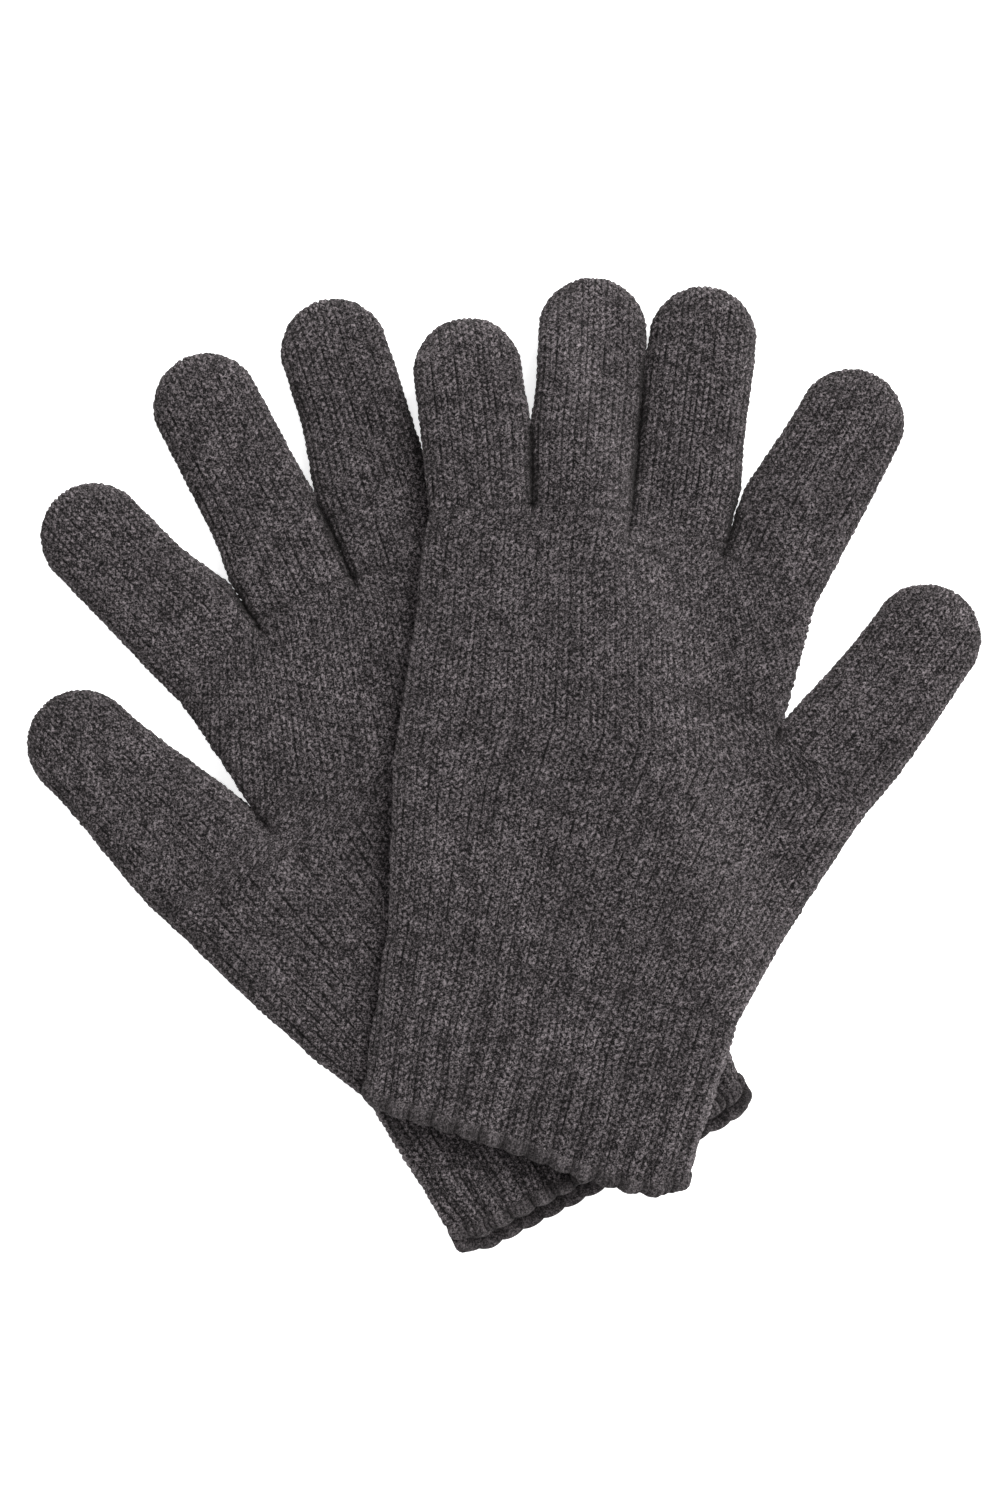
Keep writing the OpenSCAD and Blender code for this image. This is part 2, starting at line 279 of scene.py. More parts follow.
def new_mesh(name, points, faces, uvs=None, values=None):
    """An object at the origin from points in metres. uvs has one pair a point."""
    mesh = bpy.data.meshes.new(name)
    mesh.from_pydata([tuple(p) for p in points], [], faces)
    mesh.update()
    if uvs is not None:
        layer = mesh.uv_layers.new(name="stitches")
        loops = np.zeros(len(mesh.loops), np.int32)
        mesh.loops.foreach_get("vertex_index", loops)
        layer.data.foreach_set("uv", uvs[loops].astype(np.float32).ravel())
    for key, data in (values or {}).items():
        attribute = mesh.attributes.new(key, "FLOAT", "POINT")
        attribute.data.foreach_set("value", data.astype(np.float32))
    mesh.polygons.foreach_set("use_smooth", [True] * len(mesh.polygons))
    obj = bpy.data.objects.new(name, mesh)
    bpy.context.collection.objects.link(obj)
    return obj


def grid_normals(side, p):
    """Outward normals of rows of closed rings, an array of rows, columns and 3."""
    across = np.roll(p, -1, 1) - np.roll(p, 1, 1)
    down = np.empty_like(p)
    down[1:-1] = p[2:] - p[:-2]
    down[0] = p[1] - p[0]
    down[-1] = p[-1] - p[-2]
    n = np.cross(across, down)
    size = np.linalg.norm(n, axis=2, keepdims=True)
    return n / np.maximum(size, 1e-9) * PLACES[side].mirror


def skin(name, outer, inner, uvs, values, closed, turned):
    """A knitted tube with a fine outer face and a plain inner wall.

    outer and inner are rows of rings, and an outer ring has a whole number of points for each
    inner one. A closed tube ends at its last row with a fan of faces."""
    rows, n = outer.shape[:2]
    in_rows, m = inner.shape[:2]
    k = n // m
    points = [outer.reshape(-1, 3), inner.reshape(-1, 3)]
    first = rows * n
    faces = []
    col = np.arange(n)
    nxt = (col + 1) % n
    for j in range(rows - 1):
        a = j * n
        faces += np.stack([a + col, a + nxt, a + n + nxt, a + n + col], 1).tolist()
    col_m = np.arange(m)
    nxt_m = (col_m + 1) % m
    for j in range(in_rows - 1):
        a = first + j * m
        faces += np.stack([a + col_m, a + m + col_m, a + m + nxt_m, a + nxt_m], 1).tolist()
    for i in range(m):
        run = [(i * k + q) % n for q in range(k, -1, -1)]
        faces.append(run + [first + i, first + (i + 1) % m])
    if closed:
        tip = first + in_rows * m
        points.append(outer[-1].mean(0)[None])
        points.append(inner[-1].mean(0)[None])
        a = (rows - 1) * n
        faces += np.stack([a + col, a + nxt, np.full(n, tip)], 1).tolist()
        a = first + (in_rows - 1) * m
        faces += np.stack([a + nxt_m, a + col_m, np.full(m, tip + 1)], 1).tolist()
    else:
        a = (rows - 1) * n
        b = first + (in_rows - 1) * m
        for i in range(m):
            run = [a + (i * k + q) % n for q in range(k + 1)]
            faces.append(run + [b + (i + 1) % m, b + i])
    points = np.concatenate(points)
    if turned:
        faces = [f[::-1] for f in faces]
    extra = len(points) - rows * n
    uv = np.concatenate([uvs.reshape(-1, 2), np.zeros((extra, 2))])
    data = {key: np.concatenate([v.ravel(), np.full(extra, INNER_CREST)]) for key, v in values.items()}
    return new_mesh(name, points * MM, faces, uv, data)


# ---- digits ----

# Points round a digit's face and round its inner wall, and rows of the inner wall.
DIGIT_POINTS = 160
DIGIT_INNER_POINTS = 40
DIGIT_INNER_ROWS = 28
# The rows round a tip go from one angle to the other, in degrees.
TIP_START = 50
TIP_END = 89.2
TIP_ROWS = 26


def digit_rows(d, tip_w, course):
    """Lengths along a digit: even steps of the stitches, then closer ones round the tip."""
    neck, r = d.length - tip_w / 2, tip_w / 2
    turn = math.radians(TIP_START)
    step = course / COURSE_ROWS
    straight = np.arange(0, neck + r * math.sin(turn), step)
    f = np.linspace(turn, math.radians(TIP_END), TIP_ROWS)
    return np.concatenate([straight, (neck + r * np.sin(f))[1:]])


def digit_half(d, tip_w, s):
    """Half of a digit's width at a length."""
    neck, r = d.length - tip_w / 2, tip_w / 2
    body = mix(d.width, tip_w, smooth(s / (0.8 * d.length))) / 2
    dome = np.sqrt(np.clip(r * r - np.clip(s - neck, 0, r) ** 2, 0, None))
    return np.where(s <= neck, body, np.minimum(body, dome))


# Where a digit lies against its neighbour, on its little finger's side (-1) or thumb's side (1):
# how fast it fills the gap along its length, how far up the two touch, and over what length it ends.
TOUCHING = {
    ("left", "little", 1): (0.0785, 18, 16),
    ("left", "ring", -1): (0.0785, 18, 16),
    ("left", "ring", 1): (0.026, 39, 16),
    ("left", "middle", -1): (0.026, 39, 16),
    ("left", "middle", 1): (0.12, 11, 18),
    ("left", "index", -1): (0.2, 9, 40),
    ("right", "ring", 1): (0.14, 17, 32),
    ("right", "middle", -1): (0.05, 20, 18),
    ("right", "middle", 1): (0.165, 8, 18),
    ("right", "index", -1): (0.23, 8, 24),
}
# The lower glove's little finger is squeezed narrower under the other glove.
SQUEEZED = {("right", "little", -1): 2.9}


def spread(side, name, s, x):
    """Factor on x that widens a digit to meet its neighbour."""
    d = DIGITS[side][name]
    factor = np.ones_like(x)
    for sign in (-1, 1):
        slope, length, end = TOUCHING.get((side, name, sign), (0.0, 1.0, 1.0))
        filled = np.maximum(slope * np.minimum(s, length + end / 4) - NAP * smooth(s / 9), 0)
        grown = filled * (1 - smooth((s - length) / end))
        grown = grown - SQUEEZED.get((side, name, sign), 0.0) * smooth((s - 8) / 15)
        factor = np.where(x * sign > 0, 1 + grown / (d.width / 2), factor)
    return factor


# How much painted shade darkens the knit deep in such a fold.
CLEFT_PAINTED_SHADE = 0.8


def painted_cleft_shade(side, name, s, x, half):
    """Painted shade of the narrow fold between two digits that touch, 0 to 1."""
    shade = np.zeros_like(x)
    for sign in (-1, 1):
        if (side, name, sign) in TOUCHING:
            length = TOUCHING[side, name, sign][1]
            deep = (1 - smooth((s - length) / 5)) * np.exp(-((np.maximum(half - x * sign, 0) / 1.1) ** 2))
            shade = np.maximum(shade, deep)
    return shade


def digit_points(side, name, s, x, top):
    """Points of a digit's face at lengths s and distances x across it."""
    d, tip_w = DIGITS[side][name], TIP[name]
    neck, r = d.length - tip_w / 2, tip_w / 2
    half = digit_half(d, tip_w, np.minimum(s, neck))
    gap = np.where(s <= neck, half - np.abs(x), r - np.hypot(np.maximum(s - neck, 0), x))
    rise = pillow(np.maximum(gap, 0))
    cx, cy = along(d, s)
    a = heading(d, s)
    x = x * spread(side, name, s, x)
    px, py = cx + x * np.cos(a), cy - x * np.sin(a)
    soft = 0.35 * waves(px, py, 7, 38.0) * smooth(s / 15)
    t = THICK / 2 * rise
    z = THICK / 2 + np.where(top, t + soft * rise, -t)
    z = z + rest_height(side, px, py)
    qx, qy = placed(side, px, py)
    return np.stack([qx, qy, z], -1)


def section(half, count, dome_s=None, r=None):
    """x of the upper half of count points spaced evenly round a digit's section.

    Also their places along that arc, from its middle, and its length."""
    t = np.linspace(0, 1, 241)
    x = -half * np.cos(np.pi * t)
    gap = half - np.abs(x) if dome_s is None else r - np.hypot(dome_s, x)
    z = THICK / 2 * pillow(np.maximum(gap, 0))
    length = np.concatenate([[0], np.cumsum(np.hypot(np.diff(x), np.diff(z)))])
    n = count // 2
    want = np.arange(n) / n * length[-1]
    xs = np.interp(want, length, x)
    arc = want - length[-1] / 2
    return xs, arc, length[-1]


def digit_inner(side, name):
    """The plain inner wall of a digit, as rows of rings."""
    d, tip_w = DIGITS[side][name], TIP[name]
    neck, r = d.length - tip_w / 2, tip_w / 2
    m = DIGIT_INNER_POINTS
    up = np.arange(m) < m // 2
    rings = []
    for s in np.linspace(0, d.length - KNIT - 1.0, DIGIT_INNER_ROWS):
        half = max(float(digit_half(d, tip_w, s)) - KNIT, 0.3)
        over = None if s <= neck else s - neck
        xs, _, _ = section(half, m, over, r - KNIT)
        x = np.concatenate([xs, -xs])
        rise = pillow(np.maximum(half - np.abs(x), 0))
        x = x * spread(side, name, np.full(m, s), x)
        cx, cy = along(d, s)
        a = heading(d, s)
        px, py = cx + x * np.cos(a), cy - x * np.sin(a)
        t = (THICK / 2 - KNIT) * rise
        z = THICK / 2 + np.where(up, t, -t) + rest_height(side, px, py)
        qx, qy = placed(side, px, py)
        rings.append(np.stack([qx, qy, z], -1))
    return np.array(rings)


def make_digit(side, name, knit):
    d = DIGITS[side][name]
    tip_w = TIP[name]
    n = DIGIT_POINTS
    rows = digit_rows(d, tip_w, knit.course / MM)
    neck, r = d.length - tip_w / 2, tip_w / 2
    shape = (len(rows), n)
    x, arc, span = np.empty(shape), np.empty(shape), np.empty(len(rows))
    for j, s in enumerate(rows):
        half = float(digit_half(d, tip_w, s))
        over = None if s <= neck else s - neck
        xs, a, total = section(half, n, over, r)
        x[j, : n // 2], x[j, n // 2 :] = xs, -xs
        arc[j, : n // 2], arc[j, n // 2 :] = a, a
        span[j] = total
    s = np.repeat(rows[:, None], n, 1)
    top = np.zeros(shape, bool)
    top[:, : n // 2] = True
    base = digit_points(side, name, s, x, top)
    normal = grid_normals(side, base)
    # Wales run straight along the finger and end one by one round its tip.
    wales = max(1, round(float(span[0]) / (knit.wale / MM)))
    pitch = np.where(rows <= neck, span, np.interp(neck, rows, span)) / wales
    wale = arc / pitch[:, None]
    course = s / (knit.course / MM)
    seed = 11 + DIGIT_NAMES.index(name) + 20 * (side == "left")
    relief = stitches(wale + 0.5 * (wales % 2), course, seed)
    # The relief dies away where the digit is knitted onto the hand.
    join = smooth(s / 0.8)
    relief = mix(GROUND, relief, join)
    lift = knit_face(relief, lumps(arc, s, seed + 3), knit)
    outer = on_table(base + normal * lift[..., None])
    uv = np.stack([wale, course], -1)
    half = digit_half(d, tip_w, np.minimum(s, neck))
    # Painted shade in the stitch grooves and in the fold where two digits touch.
    crest_and_painted_shade = relief * (1 - CLEFT_PAINTED_SHADE * painted_cleft_shade(side, name, s, x, half))
    inner = digit_inner(side, name)
    name_of_piece = f"{side}_{name}_knit"
    piece = skin(name_of_piece, outer, inner, uv, {"crest_and_painted_shade": crest_and_painted_shade}, True, PLACES[side].mirror < 0)
    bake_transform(piece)
    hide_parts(f"{side}_{name}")
    piece.data.materials.append(wool(knit))
    return piece


# ---- hand, cuff and hem ----

# Points across a hand's upper and lower layer, and how many of them go to one of the inner wall.
HAND_TOP = 264
HAND_BOTTOM = 88
HAND_STEP = 8
HAND_INNER_ROWS = 24
# Width of the hand that its wales are counted over.
HAND_WIDTH = 116.0
# Points across each layer of the cuff and the hem.
CUFF_POINTS = 264


def across(count):
    """Shares from 0 to 1 that lie closer together at both ends."""
    return 0.5 - 0.5 * np.cos(np.linspace(0, np.pi, count))


def even_ring(steps, shares, top_n, bottom_n):
    """Shares of points spaced evenly round a folded section: over the top and back below."""
    length = np.concatenate([[0], np.cumsum(steps)])
    up = np.interp(np.arange(top_n) / top_n * length[-1], length, shares)
    down = np.interp((1 - np.arange(bottom_n) / bottom_n) * length[-1], length, shares)
    return np.concatenate([up, down])


def hand_frame(side):
    """A hand's two edges, its line of knuckles, and the crotch and heel of its thumb."""
    low_edge, high_edge = (np.array(e, float) for e in EDGES[side])
    line = knuckle_line(side)
    crotch, heel = corners(DIGITS[side]["thumb"])
    return low_edge, high_edge, line, np.array(crotch), np.array(heel)


def hand_grid(side, v, f):
    """Places on the hand: v runs from the wrist to the knuckles, f from the little side to the thumb's.

    Also the share that f has of the row as it would be without the thumb's opening."""
    low_edge, high_edge, line, crotch, heel = hand_frame(side)
    top_a, top_b = line[0], line[-1]
    ya = mix(CUFF, top_a[1], v)
    yb = mix(CUFF, top_b[1], v)
    xa = np.interp(ya, low_edge[:, 0], low_edge[:, 1])
    blend_top = smooth((v - 0.75) / 0.25)
    xa = mix(xa, top_a[0], blend_top)
    # Without the thumb, the side would run straight from the thumb's heel to the index's root.
    whole_y = np.array([CUFF, *high_edge[2:4, 0], heel[1], top_b[1]])
    whole_x = np.array([high_edge[1, 1], *high_edge[2:4, 1], heel[0], top_b[0]])
    xw = np.interp(yb, whole_y, whole_x)
    real_y = np.array([CUFF, *high_edge[2:4, 0], heel[1], crotch[1], top_b[1]])
    real_x = np.array([high_edge[1, 1], *high_edge[2:4, 1], heel[0], crotch[0], top_b[0]])
    xb = np.interp(yb, real_y, real_x)
    share = (xb - xa) / (xw - xa)
    g = f * share
    lengths = np.concatenate([[0], np.cumsum(np.hypot(*np.diff(line, axis=0).T))])
    u = lengths / lengths[-1]
    kx = np.interp(g, u, line[:, 0]) - mix(top_a[0], top_b[0], g)
    ky = np.interp(g, u, line[:, 1]) - mix(top_a[1], top_b[1], g)
    # The courses bow up evenly, and step from finger to finger only close to the knuckles.
    middle = (line[2:6, 1] - mix(top_a[1], top_b[1], u[2:6])).mean()
    bow = 4 * g * (1 - g) * middle
    far, near = smooth((v - 0.4) / 0.6), smooth((v - 0.86) / 0.14)
    x = mix(xa, xw, g) + near * kx
    y = mix(ya, yb, g) + far * bow + near * (ky - bow)
    return x, y, g


# Corner before each crotch, and the direction and length of its crease in the hand's plane.
CREASES = {
    "left": ((1, 163, 6), (3, 176, 8), (5, 187, 6)),
    "right": ((1, 160, 6), (3, 174, 8), (5, 190, 9)),
}
THUMB_CREASE = {"left": (190, 7), "right": (200, 9)}
# Greatest depth of a crease, and how much painted shade darkens it.
CREASE_DEPTH = 2.6
CREASE_PAINTED_SHADE = 0.6


def creases(side, x, y):
    """Depth of the folds that run from each crotch into the hand, 0 to 1, which also sets their painted
    shade.
    """
    _, _, line, crotch, _ = hand_frame(side)
    starts = [((line[k] + line[k + 1]) / 2, angle, length) for k, angle, length in CREASES[side]]
    starts.append((crotch, *THUMB_CREASE[side]))
    total = np.zeros_like(x)
    for p, angle, length in starts:
        a = math.radians(angle)
        end = (p[0] + length * math.sin(a), p[1] + length * math.cos(a))
        gap, f = gap_to(x, y, p, end)
        deep = (1 - smooth(f)) * np.exp(-((gap / mix(1.0, 1.5, f)) ** 2))
        total = np.maximum(total, deep)
    return total


# Ribs across one layer of the cuff, and how much painted shade darkens the grooves between them.
RIBS = 13.5
RIB_PAINTED_SHADE = 0.34
# How much painted light brightens a folded edge, for the light that its hairs catch.
RIM_PAINTED_LIGHT = 0.4


def rib_fade(y):
    """The ribs are deepest at the hem and fade into the hand."""
    return (1 - smooth((y - 34) / 36)) * (1 - 0.35 * smooth(y / 45))


def rib_phase(side, share, y):
    """Rib that a point is on; share is 0 to 1 across the cuff."""
    return share * RIBS + 0.085 * waves(share * 90, y, 31 + (side == "left"), 24.0)


def rib_ridge(phase):
    """Round top of a rib, from 0 in the groove to 1."""
    return np.abs(np.sin(np.pi * phase)) ** 0.7


def ribs(side, share, y):
    """Relief of the 1 x 1 rib."""
    return rib_ridge(rib_phase(side, share, y)) * rib_fade(y)


def rib_lift(ribbed, y, knit):
    """How far the ribs stand out or sink in, in millimetres."""
    return (ribbed - 0.6 * rib_fade(y)) * (knit.rib / MM)


# Painted shade: darker in the grooves between ribs and lighter on their tops.
def painted_rib_shade(ribbed, y):
    return 1 - RIB_PAINTED_SHADE * (0.7 * rib_fade(y) - ribbed)


def painted_rim_light(gap):
    """Painted light at a distance from a folded edge, for the light that its hairs catch."""
    return 1 + RIM_PAINTED_LIGHT * np.exp(-(gap**2))


def hand_rows(side, v_rows):
    """f of each point of each row, spaced evenly round the folded section."""
    fine = across(401)
    fs = np.empty((len(v_rows), HAND_TOP + HAND_BOTTOM))
    for j, v in enumerate(v_rows):
        level = np.full_like(fine, v)
        x, y, _ = hand_grid(side, level, fine)
        z = THICK / 2 * hand_height(side, x, y, level)
        steps = np.hypot(np.hypot(np.diff(x), np.diff(y)), np.diff(z))
        fs[j] = even_ring(steps, fine, HAND_TOP, HAND_BOTTOM)
    return fs


def hand_height(side, x, y, v):
    """Share of the full thickness on the hand: nothing at its edges, less at its crotches."""
    _, high_edge, line, crotch, heel = hand_frame(side)
    xa, _, _ = hand_grid(side, v, np.zeros_like(x))
    rise = pillow(np.maximum(x - xa, 0))
    # At the thumb's opening the layers stay apart, so the outline there ends at its heel.
    outline = [(high_edge[1, 1], CUFF), *high_edge[2:4, ::-1], heel]
    for a, b in zip(outline[:-1], outline[1:]):
        rise = np.minimum(rise, pillow(gap_to(x, y, a, b)[0]))
    # The index's side, from the thumb's crotch up.
    rise = np.minimum(rise, pillow(gap_to(x, y, crotch, line[-1])[0]))
    for corner in line[1:7]:
        rise = np.minimum(rise, pillow(np.hypot(x - corner[0], y - corner[1])))
    return rise


def hand_inner(side):
    """The plain inner wall of a hand, as rows of rings."""
    rows = np.linspace(0, 1, HAND_INNER_ROWS)
    fs = hand_rows(side, rows)[:, ::HAND_STEP]
    up = np.arange(HAND_TOP + HAND_BOTTOM)[::HAND_STEP] < HAND_TOP
    rings = []
    for v, f in zip(rows, fs):
        level = np.full_like(f, v)
        x, y, _ = hand_grid(side, level, mix(0.5, f, 0.975))
        t = (THICK / 2 - KNIT) * hand_height(side, x, y, level) * 0.9
        z = THICK / 2 + np.where(up, t, -t) + rest_height(side, x, y)
        qx, qy = placed(side, x, y)
        rings.append(np.stack([qx, qy, z], -1))
    return np.array(rings)


def make_hand(side, knit):
    _, _, line, crotch, heel = hand_frame(side)
    length = (line[0][1] + line[-1][1]) / 2 - CUFF
    courses = round(length / (knit.course / MM))
    rows = courses * COURSE_ROWS + 1
    v_rows = np.linspace(0, 1, rows)
    fs = hand_rows(side, v_rows)
    n = HAND_TOP + HAND_BOTTOM
    v = np.repeat(v_rows[:, None], n, 1)
    up = np.zeros((rows, n), bool)
    up[:, :HAND_TOP] = True
    x, y, g = hand_grid(side, v, fs)
    rise = hand_height(side, x, y, v)
    fold = creases(side, x, y)
    # Soft swells, which die away where other tubes are knitted on.
    thumb_gap, _ = gap_to(x, y, crotch, heel)
    soft = 0.5 * waves(x, y, 5 + (side == "left"), 46.0) * smooth(thumb_gap / 16)
    soft = soft * smooth((1 - v) / 0.12) * smooth(v / 0.15)
    t = THICK / 2 * rise
    dip = fold * np.minimum(CREASE_DEPTH, t * 0.8)
    z = THICK / 2 + np.where(up, t + soft * rise - dip, -t)
    z = z + rest_height(side, x, y)
    qx, qy = placed(side, x, y)
    base = np.stack([qx, qy, z], -1)
    normal = grid_normals(side, base)
    wale = (g - 0.5) * HAND_WIDTH / (knit.wale / MM)
    course = v * courses
    seed = 3 + 20 * (side == "left")
    relief = stitches(wale, course, seed)
    # The underside is coarser, so its stitches are shallower.
    relief = np.where(up, relief, 0.5 * relief + 0.25)
    join = smooth((1 - v) * length / 0.8) * smooth(v * length / 0.8)
    ribbed = ribs(side, g, y)
    relief = mix(GROUND, relief, join)
    lift = knit_face(relief, lumps(x, y, seed + 3), knit) + rib_lift(ribbed, y, knit)
    outer = on_table(base + normal * lift[..., None])
    uv = np.stack([wale, course], -1)
    xa, _, _ = hand_grid(side, v, np.zeros_like(fs))
    # Painted shade in the stitch grooves, the creases and the rib grooves, and painted light on the rib tops
    # and the folded edges.
    crest_and_painted_shade = relief * (1 - CREASE_PAINTED_SHADE * fold) * painted_rib_shade(ribbed, y) * painted_rim_light(x - xa)
    inner = hand_inner(side)
    piece = skin(f"{side}_hand_knit", outer, inner, uv, {"crest_and_painted_shade": crest_and_painted_shade}, False, PLACES[side].mirror < 0)
    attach(piece, f"{side}_glove")
    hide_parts(f"{side}_hand", f"{side}_crotch_tacks")
    piece.data.materials.append(wool(knit))
    return piece


def cuff_xy(side, y, f):
    """x of a share of the cuff's width, and that width."""
    low_edge, high_edge, _, _, _ = hand_frame(side)
    xa = np.interp(y, low_edge[:, 0], low_edge[:, 1])
    xb = np.interp(y, high_edge[:, 0], high_edge[:, 1])
    return mix(xa, xb, f), xb - xa


# How far the upper layer's hem stands in from the frame's edge, across the cuff, and the lower layer's.
UPPER_HEM = {
    "left": ((0, 0.1, 0.4, 0.55, 0.7, 0.85, 1), (0.5, 0.0, -1.0, -1.9, -3.4, -3.6, -2.2)),
    "right": ((0, 0.5, 1), (1.0, 1.2, 1.0)),
}
LOWER_HEM = {"left": -0.6, "right": -3.3}


# Length of cuff over which the hem's shape fades out.
HEM_FADE = 14


def hem_shift(side, f, up):
    """How far the hem's edge stands from its middle line, scalloped by the ribs."""
    scallop = 0.8 * rib_ridge(f * RIBS)
    corner = np.clip(1 - np.minimum(f, 1 - f) * 90 / 8, 0, 1) ** 2.2
    return np.where(up, np.interp(f, *UPPER_HEM[side]), LOWER_HEM[side]) - scallop + 2.8 * corner


def hem_bent(side, y, f, up):
    """Places along the cuff, shifted near the hem to follow its edge."""
    return y + hem_shift(side, f, up) * (1 - smooth((y - HEM) / HEM_FADE))


def cuff_ring(side, y, count):
    """Shares of the cuff's width for points spaced evenly round it."""
    fine = across(count)
    x, w = cuff_xy(side, y, fine)
    z = THICK / 2 * pillow(np.minimum(fine, 1 - fine) * w)
    return even_ring(np.hypot(np.diff(x), np.diff(z)), fine, CUFF_POINTS, CUFF_POINTS)


def hem_sink(y):
    """How far the upper layer sinks near the hem."""
    return 1.4 * (1 - smooth(y / 30))


def make_cuff(side, knit):
    courses = round((CUFF - HEM) / (knit.course / MM))
    rows = courses * COURSE_ROWS + 1
    y_rows = np.linspace(HEM, CUFF, rows)
    fs = np.array([cuff_ring(side, y, 401) for y in y_rows])
    y0 = np.repeat(y_rows[:, None], 2 * CUFF_POINTS, 1)
    up = np.zeros(fs.shape, bool)
    up[:, :CUFF_POINTS] = True
    y = hem_bent(side, y0, fs, up)
    outer, relief, ribbed, wale = cuff_face(side, knit, y0, y, fs, up, 0)
    # The inner wall has every fourth row and every second point.
    few = np.s_[::COURSE_ROWS, ::2]
    inner = cuff_face(side, knit, y0[few], y[few], fs[few], up[few], KNIT)[0]
    uv = np.stack([wale, y0 / (knit.course / MM)], -1)
    edge_gap = np.minimum(fs, 1 - fs) * cuff_xy(side, y0, fs)[1]
    # Painted shade in the stitch and rib grooves, and painted light on the rib tops and near the folded
    # edges.
    crest_and_painted_shade = relief * painted_rib_shade(ribbed, y0) * painted_rim_light(edge_gap)
    piece = skin(f"{side}_cuff_rib", outer, inner, uv, {"crest_and_painted_shade": crest_and_painted_shade}, False, PLACES[side].mirror < 0)
    cuff_body(side, piece)
    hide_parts(f"{side}_cuff")
    piece.data.materials.append(wool(knit))
    return piece


def cuff_face(side, knit, y0, y, fs, up, depth):
    """Points of the cuff's outer face, or of its inner face at a depth.

    Also their relief, ribs and wales. y0 is their place on a straight cuff, y on the bent one."""
    x, w = cuff_xy(side, y0, fs)
    middle = x - (fs - 0.5) * w
    x = middle + (fs - 0.5) * (w - 2 * depth)
    gap = np.minimum(fs, 1 - fs) * (w - 2 * depth)
    rise = pillow(gap)
    t = (THICK / 2 - depth) * rise
    soft = 0.4 * waves(x, y0, 17 + (side == "left"), 30.0) * rise * smooth((CUFF - y0) / 16)
    z = THICK / 2 + np.where(up, t + soft - hem_sink(y0) * rise, -t)
    z = z + rest_height(side, x, y)
    qx, qy = placed(side, x, y)
    base = np.stack([qx, qy, z], -1)
    normal = grid_normals(side, base)
    # Each rib is one wale of plain stitches between two that sink back.
    wale = 2 * rib_phase(side, fs, y0) + 0.5
    ribbed = ribs(side, fs, y0)
    relief = stitches(wale, (y0 - CUFF) / (knit.course / MM), 41 + (side == "left"))
    relief = mix(GROUND, relief, smooth((CUFF - y0) / 0.8))
    lift = knit_face(relief, lumps(x, y, 45), knit) + rib_lift(ribbed, y0, knit)
    if depth:
        lift = NAP - 0.5 * (rib_fade(y0) - ribbed) * (knit.rib / MM)
    return on_table(base + normal * lift[..., None]), relief, ribbed, wale


def cuff_body(side, piece):
    """The right cuff stays with its glove; the left one's place is baked into its mesh."""
    if side == "right":
        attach(piece, "right_glove")
        return
    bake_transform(piece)


# Points round the hem's section, its middle and reach along the cuff, and its least thickness.
HEM_LOOP = 14
HEM_MIDDLE = HEM * 0.5 + 0.35
HEM_REACH = HEM * 0.5 + 0.55
HEM_THICK = 1.25


def make_hem(side, knit):
    """The overlocked hem: a rolled edge round the mouth, scalloped by the ribs."""
    n, loop = 2 * CUFF_POINTS, HEM_LOOP
    f = cuff_ring(side, HEM, 801)
    steps = np.arange(n)
    up = steps < CUFF_POINTS
    shift = hem_shift(side, f, up)
    at = steps * 0.36
    twist = 0.5 + 0.25 * waves(at, at * 0.0, 71, 2.6) + 0.2 * waves(at, at * 0.0, 72, 6.0)
    # The cuff's faces are worked out on two rows, because a normal needs a neighbour.
    two = np.array([[0.0], [0.5]])
    y0 = np.full((2, n), HEM) + two
    ff, uu = np.tile(f, (2, 1)), np.tile(up, (2, 1))
    # Rings run round the mouth, and the hem's round section is swept along them.
    turn = np.linspace(0, math.tau, loop, endpoint=False)
    points = np.empty((loop, n, 3))
    for q, angle in enumerate(turn):
        depth = KNIT / 2 - math.sin(angle) * (HEM_THICK + 0.3 * twist)
        y = (HEM_MIDDLE + math.cos(angle) * HEM_REACH + shift)[None] + two
        face = cuff_face(side, knit, y0, y, ff, uu, 0.0)[0]
        inner = cuff_face(side, knit, y0, y, ff, uu, KNIT)[0]
        points[q] = mix(face[0], inner[0], (depth / KNIT)[:, None])
    # Painted shade between the hem's scallops; the hem is also lighter where the twist makes it thicker.
    crest_and_painted_shade = (0.4 + 0.42 * rib_ridge(rib_phase(side, f, HEM))) * (0.8 + 0.4 * twist)
    faces = []
    for q in range(loop):
        r = (q + 1) % loop
        for i in range(n):
            k = (i + 1) % n
            faces.append([q * n + i, q * n + k, r * n + k, r * n + i])
    if PLACES[side].mirror > 0:
        faces = [g[::-1] for g in faces]
    flat = on_table(points).reshape(-1, 3) * MM
    uv = np.stack([np.tile(steps / 4.0, loop), np.repeat(turn, n)], -1)
    piece = new_mesh(f"{side}_hem_overlock", flat, faces, uv, {"crest_and_painted_shade": np.tile(crest_and_painted_shade, loop)})
    cuff_body(side, piece)
    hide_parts(f"{side}_welt")
    piece.data.materials.append(yarn_material("hem yarn", knit))
    return piece


ELASTIC_ROUNDS = 3
ELASTIC_RADIUS = 0.3
# Points round the cuff and round the yarn.
ELASTIC_POINTS = 160
ELASTIC_LOOP = 8


